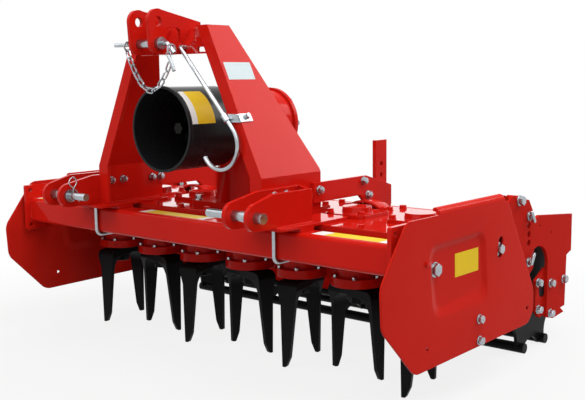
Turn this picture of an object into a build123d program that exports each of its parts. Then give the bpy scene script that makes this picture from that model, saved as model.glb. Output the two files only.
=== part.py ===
# A tractor-mounted power harrow: a gear trough with seven counter-turning
# rotors, a three-point headstock over a square front beam, a levelling board
# and a cage roller on side arms. Millimetres; +X along the working width,
# -Y towards the tractor, +Z up, standing on the tines and the roller.
from math import acos, atan2, cos, degrees, hypot, radians, sin
import os

from build123d import *

os.makedirs("parts", exist_ok=True)

# Rotor line
rotor_count = 7
rotor_pitch = 213.0
rotor_setback = 300.0        # rotor line behind the beam's front face
tine_reach = 97.0            # outer face of the tines from the rotor's axis
tine_plate = 14.0
tine_bend = 45.0             # inner bend between palm and blade
tine_shoulder = 22.0         # outer rounding of the same bend
palm_low = 236.0
palm_high = 260.0
palm_straight = 28.0         # width of the palm on the straight edge's side
palm_curved = 40.0           # and on the side of the edge that curves in
blade_top = 195.0
blade_straight = 16.0
blade_curved = 34.0
point_straight = 12.0
point_curved = 14.0
point_rise = 30.0            # where the curved edge turns in to the point
rest_turn = 10.0             # how far the rotors stand turned, in degrees
hub_radius = 58.0
shaft_radius = 27.0
run_gap = 0.3                # clearance of a turning or sliding fit

# Trough, lid and bearing pieces
tray_half = 725.0
tray_bottom = 345.0
tray_floor = 10.0
tray_wall = 8.0
lid_thickness = 8.0
lid_top = 467.0
lid_half_width = 200.0
lid_corner = 30.0
tray_low_half_width = 158.0
flange_lip = 26.0            # bolting lip of the trough under the lid
housing_radius = 78.0
housing_low = 266.0
housing_disc = 26.0
housing_neck_radius = 60.0
cap_plate = 138.0
cap_plate_thickness = 10.0
cap_corner = 16.0
cap_boss_radius = 44.0
cap_boss_height = 16.0
cap_boss_taper = 8.0

# Front beam
beam_size = 80.0
beam_wall = 8.0
beam_corner = 12.0
beam_half = 751.0
beam_top = 457.0
end_plate_thickness = 12.0
end_plate_low = 350.0
end_plate_high = 504.0
end_plate_front = 19.0       # how far it stands in front of the beam
end_plate_corner = 6.0
end_hole_radius = 7.0
end_hole_edge = 18.0

# Lower hitch
hitch_pin_forward = 131.0    # pin axis in front of the beam's front face
hitch_pin_height = 511.0
hitch_lug_radius = 36.0
hitch_plate = 12.0
inner_plate_x = 345.0
clevis_gap = 65.0
inner_plate_rear = 133.0
outer_plate_rear = 88.0
inner_knee = -38.0           # where a lug's slope meets its level top
outer_knee = -65.0
hitch_top = 565.0
base_thickness = 8.0
base_rear = 224.0
base_front = 62.0
base_inner_x = 286.0
base_outer_x = 456.0
base_corner = 14.0
pin_radius = 14.0
pin_stub_radius = 11.0
pin_stub_length = 84.0
pin_outer_length = 24.0
pin_collar_radius = 20.0
pin_collar_length = 10.0
ubolt_radius = 6.0
ubolt_clear = 0.5
ubolt_stand = 28.0           # threaded ends above the base

# Towers and top link
tower_sheet = 10.0
tower_bend_height = 594.0
tower_top = 1006.0
tower_top_x = 153.0          # outer face at the top
tower_front = -15.0          # behind the beam's front face
tower_low_depth = 250.0
tower_top_depth = 86.0
tower_flange = 42.0
top_plate_x = 34.0           # inner faces of the two top plates
top_plate_thickness = 12.0
top_plate_rear = 64.0
top_hole_setback = -96.0
top_hole_upper = 1017.0
top_hole_lower = 957.0
top_hole_radius = 13.0
top_boss_radius = 34.0
low_boss_radius = 30.0
top_rear_high = 1020.0
top_pin_radius = 12.5
top_pin_overhang = 14.0
top_pin_head_radius = 17.0
top_pin_tail = 52.0
handle_radius = 6.0
channel_low = 928.0
channel_high = 1000.0
channel_lip = 24.0
channel_lean = 30.0          # how far the web leans back
channel_sheet = 10.0
channel_rib_x = 95.0
window_x = 124.0
window_length = 46.0
window_height = 13.0

# Gearbox and drive
drive_height = 718.0
gearbox_front = 150.0
gearbox_rear = 400.0
gearbox_radius = 105.0
gearbox_flange_radius = 114.0
gearbox_flange = 16.0
gearbox_base = 268.0
gearbox_base_corner = 30.0
gearbox_base_thickness = 16.0
gearbox_neck_radius = 106.0
gearbox_neck_taper = 6.0
gearbox_rib = 14.0
gearbox_rib_height = 92.0
cover_thickness = 14.0
cover_radius = 112.0
cover_dome_radius = 78.0
cover_dome = 10.0
cover_dome_taper = 20.0
guard_radius = 120.0
guard_wall = 4.0
guard_front = -58.0
guard_floor = 10.0
guard_mouth_radius = 60.0
guard_bead = 3.0
guard_bead_length = 10.0
pto_radius = 17.5
pto_root_radius = 14.8
pto_spline_count = 6
pto_spline_width = 8.6
pto_end = 8.0
pto_plain = 40.0             # plain stretch in front of the gearbox
pto_seat = 55.0              # length held in the gearbox

# Levelling board and brace arms
brace_front = 190.0
brace_low = 508.0
brace_top = 565.0
brace_knee = 439.0
brace_rear = 572.0
brace_rear_high = 525.0
brace_rear_low = 465.0
brace_dip = 442.0            # lowest point behind the lid
brace_foot = 90.0
brace_foot_depth = 46.0
brace_foot_thickness = 10.0
post_front = 506.0
post_width = 58.0
post_thickness = 12.0
post_top = 666.0
post_gap = 0.6
post_hole_radius = 8.0
post_hole_drop = 74.0        # upper hole under the post's top
post_hole_pitch = 35.0
board_low = 165.0
board_high = 345.0
board_thickness = 10.0
board_lip = 30.0
board_half = 700.0

# Roller and its arms
roller_setback = 844.0
bar_circle = 190.0
bar_radius = 16.0
bar_count = 8
bar_half = 722.0
disc_thickness = 10.0
disc_x = 700.0
disc_rim = 4.0               # rim outside the bars' centres
scallop_radius = 62.0
scallop_offset = 30.0
axle_radius = 22.0
core_radius = 38.0
arm_pivot_setback = 159.0
arm_pivot_height = 375.0
arm_x = 740.0
arm_thickness = 10.0
arm_half_height = 27.0
bearing_plate = 10.0
carrier_rear = 186.0         # behind the roller's axis
carrier_front_edge = 14.0
carrier_low = 90.0
carrier_hole = 4.5
pivot_radius = 15.0
pivot_collar = 12.0
sector_x = 755.0
sector_thickness = 8.0
sector_radius = 540.0        # circle of the depth holes about the arm pivot
sector_edge = 40.0
sector_front = 300.0
sector_ear = 15.0            # height of the inner ear's front end
sector_block_low = 300.0
sector_block = 16.0
sector_strap_high = 384.0
spacer_radius = 14.0
depth_pin_radius = 10.0
depth_pin_end = 12.0
cross_tube = 80.0
cross_tube_corner = 10.0
cross_tube_lead = 49.0         # its middle in front of the depth holes
cross_tube_low = 360.0
cross_tube_wall = 6.0

# Side deflectors
deflector_x = 775.0
deflector_sheet = 5.0
deflector_top = 513.0
deflector_low = 124.0
fold_front = 170.0
fold_rear = 524.0
fold_radius = 18.0
recess_depth = 8.0
recess_corner = 22.0
stud_radius = 9.0
stud_head = 10.0
stud_setback = 491.0
stud_height = 379.0
slot_length = 60.0
slot_lean = 80.0
slot_play = 8.0
corner_hole_setback = 662.0
corner_hole_height = 176.0
key_hole_setback = 115.0
key_hole_height = 177.0
key_hole_radius = 9.0

# Hook rod that carries the loose drive shaft, with its clip
hook_radius = 6.0
hook_forward = 28.0          # in front of the beam's front face
hook_top_x = 54.0
hook_top_height = 948.0
hook_bend_x = 77.0
hook_bend_height = 925.0
hook_turn_x = 255.0
hook_turn_height = 725.0
hook_curl = 68.0
hook_sweep = 190.0
clip_rise = 28.0             # above the start of the hook's curl
clip_width = 22.0
clip_sheet = 4.0
clip_side = 46.0

# Chain of the top pin
link_length = 32.0
link_width = 17.0
link_wire = 3.5
link_play = 0.1
ring_radius = 12.0           # inside of the rings at the chain's ends
chain_left_x = -84.0
chain_right_x = 97.0
chain_drop = 96.0            # lowest point under the ends

# Places worked out from the driving dimensions
roller_height = bar_circle * cos(radians(180 / bar_count)) + bar_radius
front_reach = hitch_pin_forward + hitch_lug_radius
rear_reach = roller_setback + roller_height
beam_front = -(rear_reach - front_reach) / 2
rotor_y = beam_front + rotor_setback
lid_under = lid_top - lid_thickness
base_high = lid_top + base_thickness
outer_plate_x = inner_plate_x + hitch_plate + clevis_gap
hitch_y = beam_front - hitch_pin_forward
ubolt_x = inner_plate_x + hitch_plate + clevis_gap / 2 - 10
arm_y = beam_front + arm_pivot_setback
roller_y = beam_front + roller_setback
tower_lean = degrees(atan2(inner_plate_x - tower_top_x, tower_top - tower_bend_height))
tower_slope = hypot(inner_plate_x - tower_top_x, tower_top - tower_bend_height)
rotor_x = [rotor_pitch * (i - (rotor_count - 1) / 2) for i in range(rotor_count)]


def back(setback):
    """A place measured back from the beam's front face."""
    return beam_front + setback


def about_pivot(angle, outside):
    """A place by its angle about the arm pivot and its distance outside the hole circle."""
    radius = sector_radius + outside
    return (arm_y + radius * cos(radians(angle)), arm_pivot_height + radius * sin(radians(angle)))


def side_plate(x, thickness, outline):
    """An upright plate lying along the machine, from its outline in Y and Z."""
    with BuildPart() as plate:
        with BuildSketch(Plane.YZ.offset(x)):
            with BuildLine():
                Polyline(*outline, close=True)
            make_face()
        extrude(amount=thickness)
    return plate.part


def cross_rod(x, y, z, radius, length):
    """A round rod along X that starts at one place."""
    with BuildPart() as rod:
        with BuildSketch(Plane(origin=(x, y, z), x_dir=(0, 1, 0), z_dir=(1, 0, 0))):
            Circle(radius)
        extrude(amount=length)
    return rod.part


def save(part, name):
    """Label one finished piece and write it to its own file."""
    part.label = name
    export_step(part, f"parts/{name}.step")


def mirrored(part):
    """The same piece on the machine's other side."""
    return mirror(part, about=Plane.YZ, mode=Mode.PRIVATE)


def save_pair(part, stem):
    """Write a right-hand piece and its left-hand mirror image as two nodes."""
    save(mirrored(part), f"{stem}_left")
    save(part, f"{stem}_right")


def save_both(part, name):
    """Write a right-hand piece and its mirror image in one node."""
    with BuildPart() as both:
        add(part)
        add(mirrored(part))
    save(both.part, name)


# Gear trough: a long folded pan with a bolting lip round its top
with BuildPart() as tray:
    with BuildSketch(Plane.YZ.offset(-tray_half)):
        with BuildLine():
            Polyline(
                (rotor_y - lid_half_width, lid_under),
                (rotor_y - lid_half_width, lid_under - tray_wall),
                (rotor_y - lid_half_width + flange_lip, lid_under - tray_wall),
                (rotor_y - tray_low_half_width, tray_bottom),
                (rotor_y + tray_low_half_width, tray_bottom),
                (rotor_y + lid_half_width - flange_lip, lid_under - tray_wall),
                (rotor_y + lid_half_width, lid_under - tray_wall),
                (rotor_y + lid_half_width, lid_under),
                close=True,
            )
        make_face()
    extrude(amount=2 * tray_half)
    with BuildSketch(Plane.YZ.offset(-tray_half + tray_wall)):
        with BuildLine():
            Polyline(
                (rotor_y - lid_half_width + flange_lip + tray_wall, lid_under),
                (rotor_y - tray_low_half_width + tray_wall, tray_bottom + tray_floor),
                (rotor_y + tray_low_half_width - tray_wall, tray_bottom + tray_floor),
                (rotor_y + lid_half_width - flange_lip - tray_wall, lid_under),
                close=True,
            )
        make_face()
    extrude(amount=2 * (tray_half - tray_wall), mode=Mode.SUBTRACT)
save(tray.part, "tray")

# Trough lid: one flat plate with rounded corners
with BuildPart() as tray_lid:
    with BuildSketch(Plane.XY.offset(lid_under)):
        with Locations((0, rotor_y)):
            RectangleRounded(2 * tray_half, 2 * lid_half_width, lid_corner)
    extrude(amount=lid_thickness)
save(tray_lid.part, "tray_lid")

# Upper bearing caps: square plates with a round boss, one over each rotor
# except the middle one, which the gearbox covers
with BuildPart() as bearing_caps:
    with BuildSketch(Plane.XY.offset(lid_top)):
        with Locations(*[(x, rotor_y) for x in rotor_x if x != 0]):
            RectangleRounded(cap_plate, cap_plate, cap_corner)
    extrude(amount=cap_plate_thickness)
    with BuildSketch(Plane.XY.offset(lid_top + cap_plate_thickness)):
        with Locations(*[(x, rotor_y) for x in rotor_x if x != 0]):
            Circle(cap_boss_radius)
    extrude(amount=cap_boss_height, taper=cap_boss_taper)
save(bearing_caps.part, "bearing_caps")

# Lower bearing housings: a neck under the trough and a round flange below it
with BuildPart() as bearing_housings:
    with BuildSketch(Plane.XY.offset(housing_low)):
        with Locations(*[(x, rotor_y) for x in rotor_x]):
            Circle(housing_radius)
    extrude(amount=housing_disc)
    with BuildSketch(Plane.XY.offset(housing_low + housing_disc)):
        with Locations(*[(x, rotor_y) for x in rotor_x]):
            Circle(housing_neck_radius)
    extrude(amount=tray_bottom - housing_low - housing_disc)
    with BuildSketch(Plane.XY.offset(housing_low)):
        with Locations(*[(x, rotor_y) for x in rotor_x]):
            Circle(shaft_radius + run_gap)
    extrude(amount=tray_bottom - housing_low, mode=Mode.SUBTRACT)
save(bearing_housings.part, "bearing_housings")

# Rotors: a shaft and hub over two bent knife tines with slanted points, each
# rotor a quarter turn out of step with its neighbours and of the other hand
hub_top = housing_low - run_gap
for index, x in enumerate(rotor_x):
    hand = 1 - 2 * (index % 2)
    turn = radians(90 * ((index + 1) % 2) + hand * rest_turn)
    outward = (cos(turn), sin(turn), 0)
    along = (-sin(turn), cos(turn), 0)
    across = (sin(turn), -cos(turn), 0)
    with BuildPart() as tine:
        with BuildSketch(Plane(origin=(x, rotor_y, 0), x_dir=outward, z_dir=across)):
            with BuildLine():
                FilletPolyline(
                    (tine_reach - tine_plate, 0),
                    (tine_reach - tine_plate, palm_low),
                    (0, palm_low),
                    radius=tine_bend,
                )
                Polyline((0, palm_low), (0, palm_high))
                FilletPolyline(
                    (0, palm_high), (tine_reach, palm_high), (tine_reach, 0), radius=tine_shoulder
                )
                Polyline((tine_reach, 0), (tine_reach - tine_plate, 0))
            make_face()
        extrude(amount=palm_curved, both=True)
        with BuildSketch(Plane(origin=(x, rotor_y, 0), x_dir=along, z_dir=outward)):
            with BuildLine() as edge:
                FilletPolyline(
                    (-hand * palm_straight, palm_high),
                    (-hand * palm_straight, palm_low),
                    (-hand * blade_straight, blade_top),
                    (-hand * point_straight, 0),
                    (0, 0),
                    (hand * point_curved, point_rise),
                    (hand * blade_curved, blade_top),
                    (hand * palm_curved, palm_low),
                    (hand * palm_curved, palm_high),
                    radius=[12, 40, 2, 5, 30, 60, 12],
                )
                Line(edge.line @ 1, edge.line @ 0)
            make_face()
        extrude(amount=tine_reach, mode=Mode.INTERSECT)
    with BuildPart() as rotor:
        with BuildSketch(Plane.XY.offset(palm_high)):
            with Locations((x, rotor_y)):
                Circle(hub_radius)
        extrude(amount=hub_top - palm_high)
        with BuildSketch(Plane.XY.offset(hub_top)):
            with Locations((x, rotor_y)):
                Circle(shaft_radius)
        extrude(amount=tray_bottom - run_gap - hub_top)
        add(tine.part)
        add(tine.part.rotate(Axis((x, rotor_y, 0), (0, 0, 1)), 180))
    save(rotor.part, f"rotor_{index + 1}")

# Front beam: square tube with rounded corners
with BuildPart() as front_beam:
    with BuildSketch(Plane.YZ.offset(-beam_half)):
        with Locations((back(beam_size / 2), beam_top - beam_size / 2)):
            RectangleRounded(beam_size, beam_size, beam_corner)
            RectangleRounded(
                beam_size - 2 * beam_wall,
                beam_size - 2 * beam_wall,
                beam_corner - beam_wall,
                mode=Mode.SUBTRACT,
            )
    extrude(amount=2 * beam_half)
save(front_beam.part, "front_beam")

# Beam end plates: upright flanges with a bolt hole near each corner
end_plate_depth = end_plate_front + beam_size
end_plate_height = end_plate_high - end_plate_low
with BuildPart() as end_plate:
    with BuildSketch(Plane.YZ.offset(beam_half)):
        with Locations(
            (back(beam_size - end_plate_depth / 2), end_plate_low + end_plate_height / 2)
        ):
            RectangleRounded(end_plate_depth, end_plate_height, end_plate_corner)
            with GridLocations(
                end_plate_depth - 2 * end_hole_edge,
                end_plate_height - 2 * end_hole_edge,
                2,
                2,
            ):
                Circle(end_hole_radius, mode=Mode.SUBTRACT)
    extrude(amount=end_plate_thickness)
save_both(end_plate.part, "beam_end_plates")

# Hitch bases: flat plates across beam and lid, packed up on the beam, drilled
# for the two legs of the clamping bolt
ubolt_front_y = beam_front - ubolt_radius - ubolt_clear
ubolt_rear_y = back(beam_size) + ubolt_radius + ubolt_clear
base_width = base_outer_x - base_inner_x
base_middle_x = (base_outer_x + base_inner_x) / 2
with BuildPart() as hitch_base:
    with BuildSketch(Plane.XY.offset(lid_top)):
        with Locations((base_middle_x, back((base_rear - base_front) / 2))):
            RectangleRounded(base_width, base_rear + base_front, base_corner)
        with Locations((ubolt_x, ubolt_front_y), (ubolt_x, ubolt_rear_y)):
            Circle(ubolt_radius + ubolt_clear, mode=Mode.SUBTRACT)
    extrude(amount=base_thickness)
    with BuildSketch(Plane.XY.offset(beam_top)):
        with Locations((base_middle_x, back(beam_size / 2))):
            Rectangle(base_width, beam_size - 2 * beam_corner)
    extrude(amount=lid_top - beam_top)
save_both(hitch_base.part, "hitch_bases")


def hitch_lug(x, knee, rear):
    """One upright lug plate on its base: round nose, slope up to a knee, level top."""
    knee_rise = hitch_top - hitch_pin_height
    knee_run = hitch_pin_forward + knee
    leave = atan2(knee_rise, knee_run) + acos(hitch_lug_radius / hypot(knee_rise, knee_run))
    with BuildPart() as lug:
        with BuildSketch(Plane.YZ.offset(x)):
            with BuildLine():
                Polyline(
                    (hitch_y, hitch_pin_height - hitch_lug_radius),
                    (hitch_y, hitch_pin_height),
                    (
                        hitch_y + hitch_lug_radius * cos(leave),
                        hitch_pin_height + hitch_lug_radius * sin(leave),
                    ),
                    (back(knee), hitch_top),
                    (back(rear), hitch_top),
                    (back(rear), base_high),
                    close=True,
                )
            make_face()
            with Locations((hitch_y, hitch_pin_height)):
                Circle(hitch_lug_radius)
                Circle(pin_radius + run_gap, mode=Mode.SUBTRACT)
        extrude(amount=hitch_plate)
    return lug.part


save_both(hitch_lug(inner_plate_x, inner_knee, inner_plate_rear), "hitch_inner_plates")
save_both(hitch_lug(outer_plate_x, outer_knee, outer_plate_rear), "hitch_outer_plates")

# Tie plates set slantwise across the back of each lug pair
inner_tie_x = inner_plate_x + hitch_plate
tie_slant = inner_plate_rear - outer_plate_rear
with BuildPart() as hitch_tie:
    with BuildSketch(Plane.XY.offset(base_high)):
        with BuildLine():
            Polyline(
                (inner_tie_x, back(inner_plate_rear)),
                (inner_tie_x, back(inner_plate_rear - hitch_plate)),
                (outer_plate_x, back(inner_plate_rear - hitch_plate - tie_slant)),
                (outer_plate_x, back(outer_plate_rear)),
                close=True,
            )
        make_face()
        with Locations((ubolt_x, ubolt_rear_y)):
            Circle(2 * ubolt_radius, mode=Mode.SUBTRACT)
    extrude(amount=hitch_top - base_high)
save_both(hitch_tie.part, "hitch_ties")

# Lower hitch pins: stepped pins through both lugs, small end inboard
pin_body = 2 * hitch_plate + clevis_gap + pin_outer_length
with BuildPart() as hitch_pin:
    add(cross_rod(inner_plate_x, hitch_y, hitch_pin_height, pin_radius, pin_body))
    add(
        cross_rod(
            inner_plate_x - pin_collar_length,
            hitch_y,
            hitch_pin_height,
            pin_collar_radius,
            pin_collar_length,
        )
    )
    add(
        cross_rod(
            inner_plate_x - pin_stub_length,
            hitch_y,
            hitch_pin_height,
            pin_stub_radius,
            pin_stub_length,
        )
    )
save_both(hitch_pin.part, "hitch_pins")

# Clamping bolts: round rods bent in a U under the beam
ubolt_low = beam_top - beam_size - ubolt_radius - ubolt_clear
ubolt_high = base_high + ubolt_stand
with BuildPart() as ubolt:
    with BuildLine() as ubolt_line:
        FilletPolyline(
            (ubolt_x, ubolt_front_y, ubolt_high),
            (ubolt_x, ubolt_front_y, ubolt_low),
            (ubolt_x, ubolt_rear_y, ubolt_low),
            (ubolt_x, ubolt_rear_y, ubolt_high),
            radius=beam_corner + ubolt_radius,
        )
    with BuildSketch(Plane(origin=(ubolt_x, ubolt_front_y, ubolt_high), z_dir=(0, 0, -1))):
        Circle(ubolt_radius)
    sweep(path=ubolt_line.line)
save_both(ubolt.part, "ubolts")

# Towers: folded sheet legs, upright at the foot and leaning in above a bend,
# with a stiffening flange turned in along the whole front edge
tower_y = back(tower_front)
lean_plane = Plane(
    origin=(inner_plate_x, tower_y, tower_bend_height),
    x_dir=(0, 1, 0),
    z_dir=(cos(radians(tower_lean)), 0, sin(radians(tower_lean))),
)
with BuildPart() as tower:
    with BuildSketch(Plane.YZ.offset(inner_plate_x)):
        with Locations((tower_y + tower_low_depth / 2, (base_high + tower_bend_height) / 2)):
            Rectangle(tower_low_depth, tower_bend_height - base_high)
    extrude(amount=-tower_sheet)
    with BuildSketch(lean_plane):
        with BuildLine():
            Polyline(
                (0, 0),
                (tower_low_depth, 0),
                (tower_low_depth, tower_sheet),
                (tower_top_depth, tower_slope),
                (0, tower_slope),
                close=True,
            )
        make_face()
    extrude(amount=-tower_sheet)
    with BuildSketch(Plane.XZ.offset(-tower_y)):
        with BuildLine():
            Polyline(
                (inner_plate_x, base_high),
                (inner_plate_x, tower_bend_height),
                (tower_top_x, tower_top),
                (tower_top_x - tower_flange, tower_top),
                (inner_plate_x - tower_flange, tower_bend_height),
                (inner_plate_x - tower_flange, base_high),
                close=True,
            )
        make_face()
    extrude(amount=-tower_sheet)
save_pair(tower.part, "tower")

# Top cross channel between the towers: a lip with two windows, a web that
# leans back and a top flange, stiffened by ribs and corner gussets, in three
# lengths between the link plates
lean_per_height = (inner_plate_x - tower_top_x) / (tower_top - tower_bend_height)
sheet_across = tower_sheet / cos(radians(tower_lean))


def tower_inner_x(height):
    """Inner face of the leaning tower sheet at one height."""
    return tower_top_x + (tower_top - height) * lean_per_height - sheet_across


channel_front = tower_y + tower_sheet
channel_rear = tower_y + tower_top_depth
lip_top = channel_low + channel_lip
web_top = channel_front + channel_lean
with BuildPart() as top_channel:
    with BuildSketch(Plane.YZ):
        with BuildLine():
            Polyline(
                (channel_front, channel_low),
                (channel_front + channel_sheet, channel_low),
                (channel_front + channel_sheet, lip_top),
                (web_top + channel_sheet, channel_high - channel_sheet),
                (channel_rear, channel_high - channel_sheet),
                (channel_rear, channel_high),
                (web_top, channel_high),
                (channel_front, lip_top),
                close=True,
            )
        make_face()
    extrude(amount=tower_inner_x(channel_low), both=True)
    for side in (-1, 1):
        with BuildSketch(Plane.YZ.offset(side * channel_rib_x)):
            with BuildLine():
                Polyline(
                    (channel_front, lip_top),
                    (web_top, channel_high),
                    (channel_front, channel_high),
                    close=True,
                )
            make_face()
        extrude(amount=channel_sheet / 2, both=True)
        with BuildSketch(Plane.XZ.offset(-channel_front)):
            with BuildLine():
                Polyline(
                    (side * (channel_rib_x - channel_lip), lip_top),
                    (side * channel_rib_x, lip_top + channel_lip),
                    (side * tower_inner_x(lip_top + channel_lip), lip_top + channel_lip),
                    (side * tower_inner_x(lip_top), lip_top),
                    close=True,
                )
            make_face()
        extrude(amount=-channel_sheet)
        with BuildSketch(Plane.XZ.offset(-channel_front)):
            with Locations((side * window_x, channel_low + channel_lip / 2)):
                RectangleRounded(window_length, window_height, window_height / 3)
        extrude(amount=-channel_sheet, mode=Mode.SUBTRACT)
        with BuildSketch(Plane.XY.offset(channel_low)):
            with Locations((side * (top_plate_x + top_plate_thickness / 2), channel_front)):
                Rectangle(top_plate_thickness, 4 * tower_top_depth)
        extrude(amount=channel_high - channel_low, mode=Mode.SUBTRACT)
    with BuildSketch(Plane.XZ.offset(-channel_rear)):
        with BuildLine():
            Polyline(
                (-tower_inner_x(channel_low), channel_low),
                (tower_inner_x(channel_low), channel_low),
                (tower_inner_x(channel_high), channel_high),
                (-tower_inner_x(channel_high), channel_high),
                close=True,
            )
        make_face()
    extrude(amount=tower_top_depth, mode=Mode.INTERSECT)
save(top_channel.part, "top_channel")

# Top link plates: rounded noses, an upper and a lower hole, and a window
# behind the lower one
top_hole_y = back(top_hole_setback)
plate_window_rear = channel_front - channel_sheet
plate_window_front = top_hole_y + low_boss_radius
with BuildPart() as top_plate:
    with BuildSketch(Plane.YZ.offset(top_plate_x)):
        with BuildLine():
            Polyline(
                (top_hole_y - top_boss_radius, top_hole_upper),
                (top_hole_y, top_hole_upper + top_boss_radius),
                (back(top_plate_rear), top_rear_high),
                (back(top_plate_rear), channel_high - channel_lip),
                (channel_front + channel_sheet, channel_low),
                (top_hole_y, top_hole_lower - low_boss_radius),
                (top_hole_y - low_boss_radius, top_hole_lower),
                close=True,
            )
        make_face()
        with Locations((top_hole_y, top_hole_upper)):
            Circle(top_boss_radius)
            Circle(top_hole_radius, mode=Mode.SUBTRACT)
        with Locations((top_hole_y, top_hole_lower)):
            Circle(low_boss_radius)
            Circle(top_hole_radius, mode=Mode.SUBTRACT)
        with Locations(
            ((plate_window_front + plate_window_rear) / 2, (lip_top + channel_high) / 2)
        ):
            RectangleRounded(
                plate_window_rear - plate_window_front,
                channel_high - lip_top,
                channel_sheet,
                mode=Mode.SUBTRACT,
            )
    extrude(amount=top_plate_thickness)
save_both(top_plate.part, "top_link_plates")

# Top link pin in the lower holes: a turned pin with a thin tail, a collar
# and a bent handle
top_pin_half = top_plate_x + top_plate_thickness + top_pin_overhang
handle_run = 20.0
handle_out = 50.0
handle_drop = 28.0
with BuildPart() as top_link_pin:
    add(cross_rod(-top_pin_half, top_hole_y, top_hole_lower, top_pin_radius, 2 * top_pin_half))
    add(
        cross_rod(
            -top_pin_half - top_pin_tail, top_hole_y, top_hole_lower, handle_radius, top_pin_tail
        )
    )
    add(
        cross_rod(
            top_plate_x + top_plate_thickness + run_gap,
            top_hole_y,
            top_hole_lower,
            top_pin_head_radius,
            top_pin_overhang - run_gap,
        )
    )
    with BuildLine() as handle_line:
        FilletPolyline(
            (top_pin_half, top_hole_y, top_hole_lower),
            (top_pin_half + handle_run, top_hole_y, top_hole_lower),
            (top_pin_half + handle_out, top_hole_y, top_hole_lower - handle_drop),
            radius=1.4 * handle_radius,
        )
    with BuildSketch(Plane(origin=(top_pin_half, top_hole_y, top_hole_lower), z_dir=(1, 0, 0))):
        Circle(handle_radius)
    sweep(path=handle_line.line)
save(top_link_pin.part, "top_link_pin")

# Gearbox on the lid: base flange, ribbed upright body and round input housing
# with a bolting flange at its front
with BuildPart() as gearbox:
    base_top = lid_top + gearbox_base_thickness
    with BuildSketch(Plane.XY.offset(lid_top)):
        with Locations((0, rotor_y)):
            RectangleRounded(gearbox_base, gearbox_base, gearbox_base_corner)
    extrude(amount=gearbox_base_thickness)
    with BuildSketch(Plane.XY.offset(base_top)):
        with Locations((0, rotor_y)):
            Circle(gearbox_neck_radius)
    extrude(amount=drive_height - base_top, taper=gearbox_neck_taper)
    for plane in (Plane.XZ.offset(-rotor_y), Plane.YZ):
        middle = 0 if plane.z_dir.X == 0 else rotor_y
        with BuildSketch(plane):
            with BuildLine():
                Polyline(
                    (middle - gearbox_base / 2, base_top),
                    (middle - gearbox_neck_radius, base_top + gearbox_rib_height),
                    (middle + gearbox_neck_radius, base_top + gearbox_rib_height),
                    (middle + gearbox_base / 2, base_top),
                    close=True,
                )
            make_face()
        extrude(amount=gearbox_rib / 2, both=True)
    with BuildSketch(Plane.XZ.offset(-back(gearbox_front))):
        with Locations((0, drive_height)):
            Circle(gearbox_radius)
    extrude(amount=-(gearbox_rear - gearbox_front))
    with BuildSketch(Plane.XZ.offset(-back(gearbox_front))):
        with Locations((0, drive_height)):
            Circle(gearbox_flange_radius)
    extrude(amount=-gearbox_flange)
    with BuildSketch(Plane.XZ.offset(-back(gearbox_front))):
        with Locations((0, drive_height)):
            Circle(pto_radius + run_gap)
    extrude(amount=-pto_seat - run_gap, mode=Mode.SUBTRACT)
save(gearbox.part, "gearbox")

# Round cover on the back of the gearbox
with BuildPart() as gearbox_cover:
    with BuildSketch(Plane.XZ.offset(-back(gearbox_rear))):
        with Locations((0, drive_height)):
            Circle(cover_radius)
    extrude(amount=-cover_thickness)
    with BuildSketch(Plane.XZ.offset(-back(gearbox_rear + cover_thickness))):
        with Locations((0, drive_height)):
            Circle(cover_dome_radius)
    extrude(amount=-cover_dome, taper=cover_dome_taper)
save(gearbox_cover.part, "gearbox_cover")

# Drive shaft guard: an open drum with a beaded rim and a floor at the gearbox
with BuildPart() as pto_guard:
    with BuildSketch(Plane.XZ.offset(-back(guard_front))):
        with Locations((0, drive_height)):
            Circle(guard_radius)
            Circle(guard_radius - guard_wall, mode=Mode.SUBTRACT)
    extrude(amount=-(gearbox_front - guard_front))
    with BuildSketch(Plane.XZ.offset(-back(guard_front))):
        with Locations((0, drive_height)):
            Circle(guard_radius + guard_bead)
            Circle(guard_radius - guard_wall, mode=Mode.SUBTRACT)
    extrude(amount=-guard_bead_length)
    with BuildSketch(Plane.XZ.offset(-back(gearbox_front - guard_floor))):
        with Locations((0, drive_height)):
            Circle(guard_radius)
            Circle(guard_mouth_radius, mode=Mode.SUBTRACT)
    extrude(amount=-guard_floor)
save(pto_guard.part, "pto_guard")

# Splined input shaft
with BuildPart() as pto_shaft:
    with BuildSketch(Plane.XZ.offset(-back(pto_end))):
        with Locations((0, drive_height)):
            Circle(pto_root_radius)
            with PolarLocations((pto_root_radius + pto_radius) / 2, pto_spline_count):
                Rectangle(pto_radius - pto_root_radius + 2, pto_spline_width)
            Circle(pto_radius, mode=Mode.INTERSECT)
    extrude(amount=-(gearbox_front - pto_plain - pto_end))
    with BuildSketch(Plane.XZ.offset(-back(gearbox_front - pto_plain))):
        with Locations((0, drive_height)):
            Circle(pto_radius)
    extrude(amount=-(pto_plain + pto_seat))
save(pto_shaft.part, "pto_shaft")

# Brace arms from the towers back over the trough, with a foot on the lid and
# a tail that dips behind it beside the levelling post
lid_rear = rotor_y + lid_half_width
with BuildPart() as brace_arm:
    add(
        side_plate(
            inner_plate_x,
            hitch_plate,
            (
                (back(brace_front), brace_low),
                (back(brace_front), brace_top),
                (back(brace_knee), brace_top),
                (back(brace_rear), brace_rear_high),
                (back(brace_rear), brace_rear_low),
                (back(brace_rear) - hitch_plate, brace_dip),
                (lid_rear + hitch_plate, brace_dip),
                (lid_rear + run_gap, lid_top),
                (lid_rear - brace_foot_depth, lid_top),
                (lid_rear - 2 * brace_foot_depth, brace_low),
            ),
        )
    )
    with BuildSketch(Plane.XY.offset(lid_top)):
        with Locations((inner_plate_x + hitch_plate / 2, lid_rear - brace_foot_depth / 2)):
            Rectangle(brace_foot, brace_foot_depth)
    extrude(amount=brace_foot_thickness)
save_both(brace_arm.part, "brace_arms")

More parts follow.
